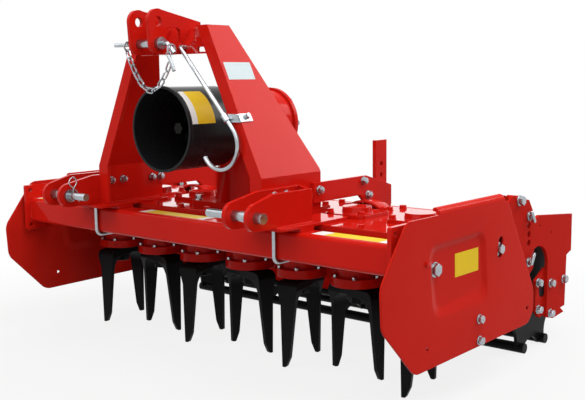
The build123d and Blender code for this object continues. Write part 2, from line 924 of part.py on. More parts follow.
# Levelling board: a folded plate behind the rotors
post_x = inner_plate_x - post_gap - post_thickness
post_y = back(post_front)
board_y = post_y + post_width
with BuildPart() as levelling_board:
    add(
        side_plate(
            -board_half,
            2 * board_half,
            (
                (board_y, board_low + board_lip),
                (board_y, board_high),
                (board_y + board_thickness, board_high),
                (board_y + board_thickness, board_low + board_lip),
                (board_y - board_lip + board_thickness, board_low),
                (board_y - board_lip, board_low),
            ),
        )
    )
save(levelling_board.part, "levelling_board")

# Drilled uprights of the levelling board, which slide beside the braces
post_low = board_low + board_lip
with BuildPart() as levelling_post:
    with BuildSketch(Plane.YZ.offset(post_x)):
        with Locations((post_y + post_width / 2, (post_low + post_top) / 2)):
            Rectangle(post_width, post_top - post_low)
        with Locations(
            (post_y + post_width / 2, post_top - post_hole_drop),
            (post_y + post_width / 2, post_top - post_hole_drop - post_hole_pitch),
        ):
            Circle(post_hole_radius, mode=Mode.SUBTRACT)
    extrude(amount=post_thickness)
save_both(levelling_post.part, "levelling_posts")

# Sector plates beside the trough ends: an outer plate with an arc of depth
# holes, an inner ear behind its top, a spacer and a strap on the trough's end
hole_angles = (-7.2, -1.2, 1.6, 4.4, 7.5)
ear_bolt = about_pivot(14.6, -50)
sector_rear_edge = (
    about_pivot(17.9, -82),
    about_pivot(12.4, sector_edge / 4),
    about_pivot(6.5, sector_edge),
)
ear_low = sector_rear_edge[1][1] - sector_ear
sector_width = sector_x + sector_thickness - tray_half
with BuildPart() as sector:
    add(
        side_plate(
            sector_x,
            sector_thickness,
            (
                (back(sector_front), sector_block_low),
                (back(sector_front), lid_under),
                (rotor_y + lid_half_width, lid_under),
                *sector_rear_edge,
                about_pivot(-9, sector_edge),
                about_pivot(-12, sector_edge / 4),
                (rotor_y + lid_half_width, sector_block_low),
            ),
        )
    )
    add(
        side_plate(
            tray_half,
            sector_thickness,
            (
                (ear_bolt[0] - 2 * sector_edge, ear_low),
                *sector_rear_edge[:2],
                (sector_rear_edge[1][0], ear_low),
            ),
        )
    )
    add(cross_rod(tray_half, *ear_bolt, spacer_radius, sector_width))
    with BuildSketch(Plane.YZ.offset(tray_half)):
        with Locations((rotor_y + lid_half_width / 4, sector_block_low + sector_block / 2)):
            Rectangle(lid_half_width, sector_block)
    extrude(amount=sector_width)
    with BuildSketch(Plane.YZ.offset(tray_half)):
        with Locations((rotor_y + lid_half_width / 4, (sector_block_low + sector_strap_high) / 2)):
            Rectangle(lid_half_width, sector_strap_high - sector_block_low)
    extrude(amount=sector_thickness)
    with BuildSketch(Plane.YZ.offset(sector_x)):
        with Locations(*[about_pivot(angle, 0) for angle in hole_angles]):
            Circle(depth_pin_radius + run_gap)
    extrude(amount=sector_thickness, mode=Mode.SUBTRACT)
save_both(sector.part, "depth_sectors")

# Pivot bolts of the roller arms, from the trough end out to the deflector
pivot_length = deflector_x + deflector_sheet - tray_half
with BuildPart() as arm_pivot:
    add(cross_rod(tray_half, arm_y, arm_pivot_height, pivot_radius, pivot_length))
    add(
        cross_rod(
            tray_half,
            arm_y,
            arm_pivot_height,
            pivot_radius + pivot_collar,
            arm_x - tray_half - 5 * run_gap,
        )
    )
save_both(arm_pivot.part, "arm_pivots")

# Roller arms: a straight bar past the depth pins, then a carrier plate with an
# arch cut under it and a leg down its back, and the bearing plate inside
arm_high = arm_pivot_height + arm_half_height
arm_low = arm_pivot_height - arm_half_height
widen_y = arm_y + sector_radius + sector_edge
leg_y = roller_y + carrier_front_edge
carrier_rear_y = roller_y + carrier_rear
arch_height = arm_low - 20
with BuildPart() as roller_arm:
    with BuildSketch(Plane.YZ.offset(arm_x)):
        with BuildLine():
            Polyline(
                (leg_y, arch_height - 50),
                (leg_y, carrier_low + 12),
                (leg_y + 48, carrier_low),
                (roller_y + 140, carrier_low + 6),
                (roller_y + 114, carrier_low + 24),
                (roller_y + 146, carrier_low + 26),
                (roller_y + 152, carrier_low + 192),
                (carrier_rear_y, carrier_low + 202),
                (carrier_rear_y, arm_high + 10),
                (widen_y + 56, arm_high + 33),
                (widen_y + 24, arm_high + 25),
                (widen_y, arm_high),
                (arm_y, arm_high),
                (arm_y, arm_low),
                (widen_y, arm_low),
                (widen_y + 24, arch_height + 6),
            )
            ThreePointArc(
                (widen_y + 24, arch_height + 6),
                (leg_y - 14, arch_height - 14),
                (leg_y, arch_height - 50),
            )
        make_face()
        with Locations((arm_y, arm_pivot_height)):
            Circle(arm_half_height)
            Circle(pivot_radius + run_gap, mode=Mode.SUBTRACT)
        with Locations((widen_y + 58, arm_high), (widen_y + 137, arm_high - 31)):
            Circle(carrier_hole, mode=Mode.SUBTRACT)
    extrude(amount=arm_thickness)
    with BuildSketch(Plane.YZ.offset(arm_x - bearing_plate)):
        with BuildLine():
            Polyline(
                (roller_y - 46, roller_height + 36),
                (leg_y + 6, roller_height + 68),
                (roller_y + 116, roller_height + 68),
                (roller_y + 116, carrier_low + 30),
                (roller_y - 16, carrier_low + 16),
                (roller_y - 46, carrier_low + 42),
                close=True,
            )
        make_face()
        with Locations((roller_y, roller_height)):
            Circle(axle_radius + run_gap, mode=Mode.SUBTRACT)
    extrude(amount=bearing_plate)
save_both(roller_arm.part, "roller_arms")

# Cross tube between the two arms
with BuildPart() as roller_cross_tube:
    with BuildSketch(Plane.YZ.offset(-arm_x)):
        with Locations((arm_y + sector_radius - cross_tube_lead, cross_tube_low + cross_tube / 2)):
            RectangleRounded(cross_tube, cross_tube, cross_tube_corner)
            RectangleRounded(
                cross_tube - 2 * cross_tube_wall,
                cross_tube - 2 * cross_tube_wall,
                cross_tube_corner - cross_tube_wall,
                mode=Mode.SUBTRACT,
            )
    extrude(amount=2 * arm_x)
save(roller_cross_tube.part, "roller_cross_tube")


def round_roller(radius, angle):
    """A place on a circle about the roller's axis."""
    return (roller_y + radius * cos(radians(angle)), roller_height + radius * sin(radians(angle)))


# Cage roller: round bars through scalloped discs on a core tube
bar_step = 360 / bar_count
bar_angles = [bar_step * (i + 0.5) - 90 for i in range(bar_count)]
with BuildPart() as roller:
    with BuildSketch(Plane.YZ.offset(-bar_half)):
        with Locations(*[round_roller(bar_circle, angle) for angle in bar_angles]):
            Circle(bar_radius)
    extrude(amount=2 * bar_half)
    for x in (-disc_x, -disc_x / 2, 0, disc_x / 2, disc_x):
        with BuildSketch(Plane.YZ.offset(x - disc_thickness / 2)):
            with Locations((roller_y, roller_height)):
                Circle(bar_circle + disc_rim)
            with Locations(
                *[
                    round_roller(bar_circle + scallop_offset, angle + bar_step / 2)
                    for angle in bar_angles
                ]
            ):
                Circle(scallop_radius, mode=Mode.SUBTRACT)
        extrude(amount=disc_thickness)
    add(cross_rod(-disc_x, roller_y, roller_height, core_radius, 2 * disc_x))
    axle_half = arm_x - run_gap
    add(cross_rod(-axle_half, roller_y, roller_height, axle_radius, 2 * axle_half))
save(roller.part, "roller")

# Side deflectors: pressed sheets with a recessed field, a top edge rolled in,
# a slot for the rear stud and a triangular and a round hole
deflector_outline = (
    # setback, height
    (23, deflector_top),
    (530, deflector_top),
    (700, 230),
    (702, 162),
    (671, deflector_low + 4),
    (60, deflector_low),
    (-80, 265),
    (-86, 371),
)
recess_rim = ((116, 443), (402, 445), (425, 232), (142, 244))
recess_floor = ((146, 414), (362, 424), (388, 300), (172, 276))
outer_face = deflector_x + deflector_sheet
with BuildPart() as deflector:
    add(side_plate(deflector_x, deflector_sheet, [(back(y), z) for y, z in deflector_outline]))
    for face, mode in ((deflector_x, Mode.ADD), (outer_face, Mode.SUBTRACT)):
        for inset, corners in ((0, recess_rim), (recess_depth, recess_floor)):
            with BuildSketch(Plane.YZ.offset(face - inset)) as section:
                with BuildLine():
                    Polyline(*[(back(y), z) for y, z in corners], close=True)
                make_face()
                fillet(section.vertices(), recess_corner)
        loft(mode=mode)
    with BuildSketch(Plane.XZ.offset(-back(fold_front))):
        with Locations((outer_face - fold_radius, deflector_top)):
            Circle(fold_radius)
            Circle(fold_radius - deflector_sheet, mode=Mode.SUBTRACT)
        with Locations((outer_face - fold_radius / 2, deflector_top + fold_radius / 2)):
            Rectangle(fold_radius, fold_radius, mode=Mode.INTERSECT)
    extrude(amount=-(fold_rear - fold_front))
    with BuildSketch(Plane.YZ.offset(deflector_x - recess_depth)):
        with Locations((arm_y, arm_pivot_height)):
            Circle(pivot_radius + run_gap)
        with Locations((back(stud_setback), stud_height + slot_length / 10)):
            SlotOverall(slot_length, 2 * stud_radius + slot_play, rotation=slot_lean)
        with Locations((back(corner_hole_setback), corner_hole_height)):
            Circle(end_hole_radius)
        with Locations((back(key_hole_setback), key_hole_height)):
            RegularPolygon(key_hole_radius, 3)
    extrude(amount=recess_depth + deflector_sheet, mode=Mode.SUBTRACT)
save_pair(deflector.part, "deflector")

# Studs that hold the back of each deflector in its slot
stud_x = sector_x + sector_thickness
with BuildPart() as deflector_stud:
    add(
        cross_rod(
            stud_x, back(stud_setback), stud_height, stud_radius + stud_head, deflector_x - stud_x
        )
    )
    add(cross_rod(stud_x, back(stud_setback), stud_height, stud_radius, outer_face - stud_x))
save_both(deflector_stud.part, "deflector_studs")

# Depth pins in the top and bottom sector holes, over and under the arm
pin_start = arm_x + arm_thickness / 4
with BuildPart() as depth_pin:
    for angle in (hole_angles[0], hole_angles[-1]):
        add(
            cross_rod(
                pin_start,
                *about_pivot(angle, 0),
                depth_pin_radius,
                stud_x + depth_pin_end - pin_start,
            )
        )
save_both(depth_pin.part, "depth_pins")

# Hook rod: a bent round bar hung from the channel's lip, curled up at its end
hook_y = beam_front - hook_forward
hook_heading = atan2(hook_turn_height - hook_bend_height, hook_turn_x - hook_bend_x)
curl_x = hook_turn_x + hook_curl * sin(hook_heading)
curl_z = hook_turn_height - hook_curl * cos(hook_heading)


def on_curl(swept):
    """A place on the hook's curl, a number of degrees after its start."""
    angle = hook_heading + radians(90 - swept)
    return (curl_x + hook_curl * cos(angle), hook_y, curl_z + hook_curl * sin(angle))


with BuildPart() as hook_rod:
    with BuildLine() as hook_line:
        FilletPolyline(
            (hook_top_x, channel_front - run_gap, hook_top_height),
            (hook_top_x, hook_y, hook_top_height),
            (hook_bend_x, hook_y, hook_bend_height),
            (hook_turn_x, hook_y, hook_turn_height),
            radius=1.5 * hook_radius,
        )
        ThreePointArc(on_curl(0), on_curl(hook_sweep / 2), on_curl(hook_sweep))
    with BuildSketch(
        Plane(origin=(hook_top_x, channel_front - run_gap, hook_top_height), z_dir=(0, -1, 0))
    ):
        Circle(hook_radius)
    sweep(path=hook_line.wires()[0])
save(hook_rod.part, "hook_rod")

# Clip of the hook rod: a sleeve on the rod and a strap bent round the edge of
# the right tower
clip_height = hook_turn_height + clip_rise
clip_along = clip_rise / sin(hook_heading)
clip_x = hook_turn_x + clip_along * cos(hook_heading)
clip_edge_x = tower_top_x + (tower_top - clip_height) * lean_per_height
clip_up = (clip_height - tower_bend_height) / cos(radians(tower_lean))
sleeve_radius = hook_radius + clip_sheet
with BuildPart() as hook_clip:
    with BuildSketch(
        Plane(
            origin=(clip_x, hook_y, clip_height),
            x_dir=(0, 1, 0),
            z_dir=(cos(hook_heading), 0, sin(hook_heading)),
        )
    ):
        Circle(sleeve_radius)
    extrude(amount=clip_width / 2, both=True)
    with BuildSketch(Plane.XZ.offset(-tower_y)):
        with BuildLine():
            Polyline(
                (clip_x - sleeve_radius, clip_height - clip_width / 2),
                (clip_x - sleeve_radius, clip_height + clip_width / 2),
                (clip_edge_x - lean_per_height * clip_width / 2, clip_height + clip_width / 2),
                (clip_edge_x + lean_per_height * clip_width / 2, clip_height - clip_width / 2),
                close=True,
            )
        make_face()
    extrude(amount=hook_forward + tower_front - hook_radius - run_gap)
    with BuildSketch(lean_plane):
        with Locations((clip_side / 2 - clip_sheet, clip_up)):
            Rectangle(clip_side, clip_width)
    extrude(amount=clip_sheet)
    with BuildSketch(
        Plane(
            origin=(clip_x, hook_y, clip_height),
            x_dir=(0, 1, 0),
            z_dir=(cos(hook_heading), 0, sin(hook_heading)),
        )
    ):
        Circle(hook_radius + run_gap)
    extrude(amount=clip_width, both=True, mode=Mode.SUBTRACT)
save(hook_clip.part, "hook_clip")

# Chain of the top pin: flat-sided links hung in a curve, every other one
# turned a quarter, from a ring on the pin's tail to a ring on its handle
link_pitch = link_length - 2 * link_wire - link_play
chain_middle_x = (chain_left_x + chain_right_x) / 2
chain_half = (chain_right_x - chain_left_x) / 2
handle_slope = handle_drop / (handle_out - handle_run)
handle_fall = (chain_right_x - top_pin_half - handle_run) * handle_slope
tail_ring_height = top_hole_lower + handle_radius + run_gap - ring_radius
handle_top = top_hole_lower - handle_fall + handle_radius * hypot(1, handle_slope)
handle_ring_height = handle_top + link_wire / 2 * handle_slope + run_gap - ring_radius
chain_end_height = tail_ring_height - ring_radius - link_length / 2 + 2 * link_wire
chain_fall = tail_ring_height - handle_ring_height
link_places = []
link_x = chain_left_x
while link_x < chain_right_x - link_width / 2:
    slope = 2 * chain_drop * (link_x - chain_middle_x) / chain_half**2
    slope -= chain_fall / (2 * chain_half)
    link_places.append((link_x, slope))
    link_x += link_pitch / hypot(1, slope)
with BuildPart() as pin_chain:
    for x, z in ((chain_left_x, tail_ring_height), (chain_right_x, handle_ring_height)):
        with BuildSketch(Plane(origin=(x, top_hole_y, z), x_dir=(0, 1, 0), z_dir=(1, 0, 0))):
            Circle(ring_radius + link_wire)
            Circle(ring_radius, mode=Mode.SUBTRACT)
        extrude(amount=link_wire / 2, both=True)
    for index, (x, slope) in enumerate(link_places):
        along_span = (x - chain_middle_x) / chain_half
        z = chain_end_height - chain_drop * (1 - along_span**2) - chain_fall * (1 + along_span) / 2
        heading = (1 / hypot(1, slope), 0, slope / hypot(1, slope))
        upright = (-heading[2], 0, heading[0])
        normal = upright if index % 2 else (0, 1, 0)
        with BuildSketch(Plane(origin=(x, top_hole_y, z), x_dir=heading, z_dir=normal)):
            SlotOverall(link_length, link_width)
            SlotOverall(link_length - 2 * link_wire, link_width - 2 * link_wire, mode=Mode.SUBTRACT)
        extrude(amount=link_wire / 2, both=True)
save(pin_chain.part, "pin_chain")
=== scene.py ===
# The looks of a tractor-mounted power harrow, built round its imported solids:
# red enamelled steel, black rotors and roller, zinc-plated pins and bolts.
from math import cos, pi, radians, sin

import bmesh
import bpy
from mathutils import Matrix, Vector


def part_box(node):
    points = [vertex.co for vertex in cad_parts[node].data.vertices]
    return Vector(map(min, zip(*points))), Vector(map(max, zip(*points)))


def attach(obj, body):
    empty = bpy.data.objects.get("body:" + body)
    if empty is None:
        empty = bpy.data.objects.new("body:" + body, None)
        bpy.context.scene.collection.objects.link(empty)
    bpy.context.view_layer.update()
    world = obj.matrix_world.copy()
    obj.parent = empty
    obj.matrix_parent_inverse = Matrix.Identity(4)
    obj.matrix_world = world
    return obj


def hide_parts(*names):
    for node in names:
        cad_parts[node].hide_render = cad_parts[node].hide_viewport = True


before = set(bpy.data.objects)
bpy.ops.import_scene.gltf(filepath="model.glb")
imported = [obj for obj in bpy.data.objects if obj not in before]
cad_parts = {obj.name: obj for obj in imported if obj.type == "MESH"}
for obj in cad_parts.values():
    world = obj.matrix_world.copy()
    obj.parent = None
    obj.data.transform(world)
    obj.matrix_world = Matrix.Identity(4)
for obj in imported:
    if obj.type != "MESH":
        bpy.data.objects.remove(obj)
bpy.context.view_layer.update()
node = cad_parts


# Gear trough: a pan folded from steel plate under a flat lid, with turned
# bearing caps and housings. All of it is sprayed with one glossy red enamel,
# and its lid and caps are held by hex bolts that were painted with it.
class Wire:
    """One output in a material's nodes; sums on it add Math nodes beside it."""

    def __init__(self, tree, socket=None):
        self.tree = tree
        self.socket = socket

    def node(self, kind, settings, sockets, output=0):
        """Add a node: its settings first, then values or links; give back one output."""
        made = self.tree.nodes.new(kind)
        for name, value in settings.items():
            setattr(made, name, value)
        for name, value in sockets.items():
            if isinstance(value, Wire):
                self.tree.links.new(value.socket, made.inputs[name])
            else:
                made.inputs[name].default_value = value
        return Wire(self.tree, made.outputs[output])

    def sum_with(self, operation, first, second):
        return self.node("ShaderNodeMath", {"operation": operation}, {0: first, 1: second})

    def __add__(self, other):
        return self.sum_with("ADD", self, other)

    def __mul__(self, other):
        return self.sum_with("MULTIPLY", self, other)

    __radd__ = __add__
    __rmul__ = __mul__


def new_material(name):
    """An empty node material; gives the material and a wire to build from."""
    made = bpy.data.materials.new(name)
    made.use_nodes = True
    made.node_tree.nodes.clear()
    return made, Wire(made.node_tree)


def close_material(wire, shader):
    """Feed the finished shader to the material's output."""
    out = wire.tree.nodes.new("ShaderNodeOutputMaterial")
    wire.tree.links.new(shader.socket, out.inputs["Surface"])


def noise(wire, place, scale, detail=3.0, roughness=0.55):
    """Grey cloud noise at a scale per metre."""
    return wire.node(
        "ShaderNodeTexNoise",
        {},
        {"Vector": place, "Scale": scale, "Detail": detail, "Roughness": roughness},
    )


def blend_colours(wire, factor, first, second):
    """One colour fading to another by a factor."""
    return wire.node(
        "ShaderNodeMix",
        {"data_type": "RGBA"},
        {"Factor": factor, 6: first, 7: second},
        output=2,
    )


def sprayed_enamel(name, deep, light, sheen, gloss, peel, edge=0.0022):
    """Sprayed paint: cloudy depth of colour, uneven gloss, soft edges and a trace of peel."""
    material, wire = new_material(name)
    place = wire.node("ShaderNodeTexCoord", {}, {}, output=3)
    cloud = noise(wire, place, 2.6)
    smear = noise(wire, place, 14.0, 4.0)
    peel_height = noise(wire, place, 330.0, 1.5)
    soft_edge = wire.node("ShaderNodeBevel", {"samples": 6}, {"Radius": edge})
    skin = wire.node(
        "ShaderNodeBump",
        {},
        {"Strength": peel, "Distance": 0.0003, "Height": peel_height, "Normal": soft_edge},
    )
    shader = wire.node(
        "ShaderNodeBsdfPrincipled",
        {},
        {
            "Base Color": blend_colours(wire, cloud, deep, light),
            "Roughness": gloss + 0.10 * smear,
            "Normal": skin,
            "Specular IOR Level": sheen,
        },
    )
    close_material(wire, shader)
    return material


def dress(material, *names):
    """Give CAD nodes one material over their whole surface."""
    for name in names:
        node[name].data.materials.clear()
        node[name].data.materials.append(material)


red_enamel = sprayed_enamel(
    "red_enamel", (0.50, 0.008, 0.004, 1), (0.59, 0.012, 0.006, 1), 0.055, 0.05, 0.05
)
lid_enamel = sprayed_enamel(
    "lid_enamel", (0.48, 0.008, 0.004, 1), (0.57, 0.012, 0.006, 1), 0.2, 0.02, 0.05
)
dress(red_enamel, "tray", "bearing_housings")
dress(lid_enamel, "tray_lid", "bearing_caps")

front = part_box("front_beam")[0].y
up = Vector((0, 0, 1))
outward = Vector((1, 0, 0))


def spot(x, setback, height):
    """A place in millimetres: along the width, behind the beam's face, above the floor."""
    return Vector((x / 1000, front + setback / 1000, height / 1000))


def finish_piece(shape, name, material, body, crease=35):
    """Make a piece of a finished shape: paint it, shade it and let it ride a body."""
    data = bpy.data.meshes.new(name)
    shape.to_mesh(data)
    shape.free()
    data.materials.append(material)
    data.shade_smooth()
    data.set_sharp_from_angle(angle=radians(crease))
    piece = bpy.data.objects.new(name, data)
    bpy.context.scene.collection.objects.link(piece)
    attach(piece, body)
    return piece


def bolt_head(across, height, washer=0.0, sides=6):
    """A hex head with a chamfered top, upright on its washer."""
    shape = bmesh.new()
    corner = across / 2 / cos(pi / sides)
    for radius, thick, low, count, chamfer in (
        (corner, height, washer, sides, min(0.12 * height, 0.12 * across)),
        (0.66 * across, washer, 0.0, 24, 0.25 * washer),
    ):
        if thick == 0.0:
            continue
        made = bmesh.ops.create_cone(
            shape,
            cap_ends=True,
            segments=count,
            radius1=radius,
            radius2=radius,
            depth=thick,
            matrix=Matrix.Translation((0, 0, low + thick / 2)),
        )
        rim = [
            edge
            for edge in shape.edges
            if all(vert in made["verts"] and vert.co.z > low + 0.9 * thick for vert in edge.verts)
        ]
        bmesh.ops.bevel(
            shape, geom=rim, offset=chamfer, affect="EDGES", segments=2, profile=0.5, material=-1
        )
    return shape


def set_bolts(head, places, name, material, body, twist=0.7):
    """Copies of one head, each on its place, facing its own way and twisted on from the last."""
    stamp = bpy.data.meshes.new("stamp")
    head.to_mesh(stamp)
    head.free()
    whole = bmesh.new()
    for count, (place, facing) in enumerate(places):
        start = len(whole.verts)
        whole.from_mesh(stamp)
        whole.verts.ensure_lookup_table()
        turn = facing.to_track_quat("Z", "Y").to_matrix().to_4x4()
        turn = Matrix.Translation(place) @ turn @ Matrix.Rotation(twist * count, 4, "Z")
        bmesh.ops.transform(whole, matrix=turn, verts=whole.verts[start:])
    bpy.data.meshes.remove(stamp)
    finish_piece(whole, name, material, body)


def both_sides(x, setback, height, facing=outward):
    """A place on the right side with its facing, and the same on the left."""
    other = Vector((-facing.x, facing.y, facing.z))
    return [(spot(x, setback, height), facing), (spot(-x, setback, height), other)]


lid_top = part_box("tray_lid")[1].z * 1000
lid_bolt_pitch = 115
lid_end_row = 708
lid_rows = (  # each row's setback, and the stretch that a hitch base or a brace covers
    (116, 280, 465),
    (484, 290, 410),
)
saddle_line = 430
lid_bolts = []
for step in range(-6, 7):
    x = lid_bolt_pitch * step
    for setback, covered_from, covered_to in lid_rows:
        if not covered_from < abs(x) < covered_to:
            lid_bolts.append((spot(x, setback, lid_top), up))
for setback in (195, 300, 405):
    lid_bolts += both_sides(lid_end_row, setback, lid_top, up)
for x in (449, 296):
    lid_bolts += both_sides(x, saddle_line, lid_top, up)
set_bolts(bolt_head(0.018, 0.009, 0.002), lid_bolts, "lid_bolts", red_enamel, "frame")
rotor_pitch = 213
rotor_x = [rotor_pitch * step for step in range(-3, 4)]
rotor_line = 300


def square_of_bolts(x, reach, height):
    """Four upright places at the corners of a square on the rotors' line."""
    return [
        (spot(x + reach * east, rotor_line + reach * north, height), up)
        for east in (-1, 1)
        for north in (-1, 1)
    ]


cap_thickness = 10
cap_reach = 54
cap_bolts = []
for x in rotor_x:
    if x != 0:  # the gearbox stands over the middle cap
        cap_bolts += square_of_bolts(x, cap_reach, lid_top + cap_thickness)
set_bolts(bolt_head(0.017, 0.009, 0.002), cap_bolts, "cap_bolts", red_enamel, "frame")

# Rotors: forged hubs with two knife tines each, dipped in satin black paint.
# A large nut under each palm pulls the rotor up on its splined shaft.
black_enamel = sprayed_enamel(
    "black_enamel", (0.005, 0.005, 0.006, 1), (0.010, 0.010, 0.011, 1), 0.05, 0.30, 0.12
)
rotors = [name for name in node if name.startswith("rotor_")]
dress(black_enamel, *rotors)
palm_low = 236
for name, x in zip(sorted(rotors), rotor_x):
    nut = [(spot(x, rotor_line, palm_low), -up)]
    set_bolts(bolt_head(0.046, 0.022, 0.004), nut, f"{name}_nut", black_enamel, name)

# Front beam and lower hitch: square tube, cut plates and clamping bolts. The
# plates share the trough's enamel; pins, nuts and bolts are zinc plated.
beam_enamel = sprayed_enamel(
    "beam_enamel", (0.50, 0.008, 0.004, 1), (0.59, 0.012, 0.006, 1), 0.06, 0.04, 0.05
)
dress(
    beam_enamel,
    "front_beam",
    "beam_end_plates",
    "hitch_bases",
    "hitch_inner_plates",
    "hitch_outer_plates",
    "hitch_ties",
)


def plated_steel(name, dark, bright, roughness):
    """Zinc plate or bare steel: metal with cloudy tone and fine brushing."""
    material, wire = new_material(name)
    place = wire.node("ShaderNodeTexCoord", {}, {}, output=3)
    cloud = noise(wire, place, 45.0, 4.0)
    fine = noise(wire, place, 700.0, 2.0)
    skin = wire.node(
        "ShaderNodeBump", {}, {"Strength": 0.15, "Distance": 0.0002, "Height": fine}
    )
    shader = wire.node(
        "ShaderNodeBsdfPrincipled",
        {},
        {
            "Base Color": blend_colours(wire, cloud, dark, bright),
            "Metallic": 0.92 + 0.08 * fine,
            "Roughness": roughness + 0.16 * cloud,
            "Normal": skin,
        },
    )
    close_material(wire, shader)
    return material


zinc_plate = plated_steel("zinc_plate", (0.24, 0.26, 0.28, 1), (0.54, 0.57, 0.60, 1), 0.16)
dress(zinc_plate, "hitch_pins", "ubolts")


def set_plated_bolts(head, places, name, body="frame", twist=0.7):
    """Zinc-plated bolts, nuts or pin ends, most of them on the frame."""
    set_bolts(head, places, name, zinc_plate, body, twist)


housing_circle = 69
housing_flange = 292
housing_bolts = []
for x in rotor_x:
    for turn in range(6):
        east = housing_circle * cos(turn * pi / 3)
        north = housing_circle * sin(turn * pi / 3)
        housing_bolts.append((spot(x + east, rotor_line + north, housing_flange), up))
set_plated_bolts(bolt_head(0.011, 0.006, 0.0014), housing_bolts, "housing_bolts")
base_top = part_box("hitch_bases")[1].z * 1000
clamp_x = 379.5
clamp_nuts = []
for leg in (-6.5, 86.5):
    clamp_nuts += both_sides(clamp_x, leg, base_top, up)
set_plated_bolts(bolt_head(0.019, 0.011, 0.003), clamp_nuts, "clamp_nuts")
outer_face = 357  # of the inner lugs and of the brace arms behind them
inner_face = 335  # of the towers' feet
lug_bolt_height = 545
lug_bolts = []
for setback in (20, 69):
    lug_bolts += both_sides(outer_face, setback, lug_bolt_height)
    lug_bolts += both_sides(inner_face, setback, lug_bolt_height, -outward)
set_plated_bolts(bolt_head(0.019, 0.011, 0.003), lug_bolts, "lug_bolts")


def bent_wire(points, thickness, name):
    """Round zinc-plated wire, bent along one smooth line."""
    bend = bpy.data.curves.new(name, "CURVE")
    bend.dimensions = "3D"
    bend.bevel_depth = thickness / 2
    bend.bevel_resolution = 3
    bend.use_fill_caps = True
    line = bend.splines.new("NURBS")
    line.points.add(len(points) - 1)
    for corner, place in zip(line.points, points):
        corner.co = (*place, 1)
    line.order_u = 3
    line.use_endpoint_u = True
    draft = bpy.data.objects.new(name, bend)
    data = bpy.data.meshes.new_from_object(draft)
    bpy.data.objects.remove(draft)
    bpy.data.curves.remove(bend)
    shape = bmesh.new()
    shape.from_mesh(data)
    bpy.data.meshes.remove(data)
    bmesh.ops.remove_doubles(shape, verts=shape.verts, dist=0.00001)
    finish_piece(shape, name, zinc_plate, "frame", 50)


clip_x = -324
clip_line = (
    (-131, 496),
    (-131, 512),
    (-131, 533),
    (-121, 543),
    (-115, 556),
    (-131, 572),
    (-147, 556),
    (-141, 543),
    (-124, 532),
    (-111, 516),
    (-118, 501),
    (-110, 494),
)
bent_wire([spot(clip_x, *corner) for corner in clip_line], 0.0038, "pin_clip")


def weld_seams(runs, name):
    """Welded seams: overlapping beads laid along straight runs and painted over."""
    bead_step = 0.0045
    bead_radius = 0.0034
    whole = bmesh.new()
    for start, end in runs:
        beads = round((end - start).length / bead_step)
        for bead in range(beads + 1):
            bmesh.ops.create_icosphere(
                whole,
                subdivisions=2,
                radius=bead_radius,
                matrix=Matrix.Translation(start.lerp(end, bead / beads)),
            )
    finish_piece(whole, name, red_enamel, "frame")


base_runs = ((outer_face, -56, 130), (422, -56, 86), (434, -56, 86), (inner_face, -13, 222))
end_plate_face = 751
end_plate_runs = (((0, 390), (0, 444)), ((13, 457), (67, 457)), ((13, 377), (67, 377)))
hitch_runs = []
for side in (-1, 1):
    for x, first, last in base_runs:
        hitch_runs.append((spot(side * x, first, base_top), spot(side * x, last, base_top)))
    for run in end_plate_runs:
        hitch_runs.append([spot(side * end_plate_face, *end) for end in run])
weld_seams(hitch_runs, "hitch_welds")

# Blank films on the beam: white vinyl with a yellow middle, pressed on flat
# between the bases and the end plates, and one more at the beam's middle.


def vinyl_film(name, tone):
    """Plain vinyl or tin: an even colour with faint scuffs and a soft gloss."""
    material, wire = new_material(name)
    place = wire.node("ShaderNodeTexCoord", {}, {}, output=3)
    scuff = noise(wire, place, 60.0, 5.0, 0.65)
    worn = tuple(0.86 * part for part in tone[:3]) + (1,)
    shader = wire.node(
        "ShaderNodeBsdfPrincipled",
        {},
        {
            "Base Color": blend_colours(wire, scuff, worn, tone),
            "Roughness": 0.28 + 0.2 * scuff,
            "Specular IOR Level": 0.08,
        },
    )
    close_material(wire, shader)
    return material


white_film = vinyl_film("white_film", (0.80, 0.80, 0.78, 1))
yellow_film = vinyl_film("yellow_film", (0.83, 0.56, 0.012, 1))


def press_film(corners, name, material):
    """A thin four-cornered film, pressed on; seen from outside its corners go anticlockwise."""
    thickness = 0.0004
    shape = bmesh.new()
    face = shape.faces.new([shape.verts.new(corner) for corner in corners])
    shape.normal_update()
    lift = face.normal * thickness
    raised = bmesh.ops.extrude_face_region(shape, geom=[face])
    top = [item for item in raised["geom"] if isinstance(item, bmesh.types.BMVert)]
    bmesh.ops.translate(shape, vec=lift, verts=top)
    bmesh.ops.recalc_face_normals(shape, faces=shape.faces)
    finish_piece(shape, name, material, "frame")


beam_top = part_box("front_beam")[1].z * 1000
film_front = 18
film_rear = 66
film_lift = 0.3
for name, start, end, margin in (
    ("right", 488, 742, 42),
    ("left", -742, -488, 14),
    ("middle", -196, 84, 26),
):
    for tone, first, last, height in (
        (white_film, start, end, beam_top),
        (yellow_film, start + margin, end - margin, beam_top + film_lift),
    ):
        corners = [
            spot(first, film_front, height),
            spot(last, film_front, height),
            spot(last, film_rear, height),
            spot(first, film_rear, height),
        ]
        press_film(corners, f"beam_{name}_{tone.name}", tone)

# Headstock: two folded sheet towers, the channel across their tops and the
# link plates, welded together and painted. The right tower carries a blank
# tin plate, and the feet are bolted through with the brace arms.
dress(red_enamel, "tower_left", "tower_right", "top_link_plates")
channel_enamel = sprayed_enamel(
    "channel_enamel", (0.50, 0.008, 0.004, 1), (0.59, 0.012, 0.006, 1), 1.0, 0.02, 0.05
)
dress(channel_enamel, "top_channel")
lean = radians(24.99)
tower_out = Vector((cos(lean), 0, sin(lean)))
bend_x = 345
bend_height = 594


def on_tower(setback, rise):
    """A place on the right tower's leaning face, by its distance above the bend."""
    return spot(bend_x - rise * sin(lean), setback, bend_height + rise * cos(lean))


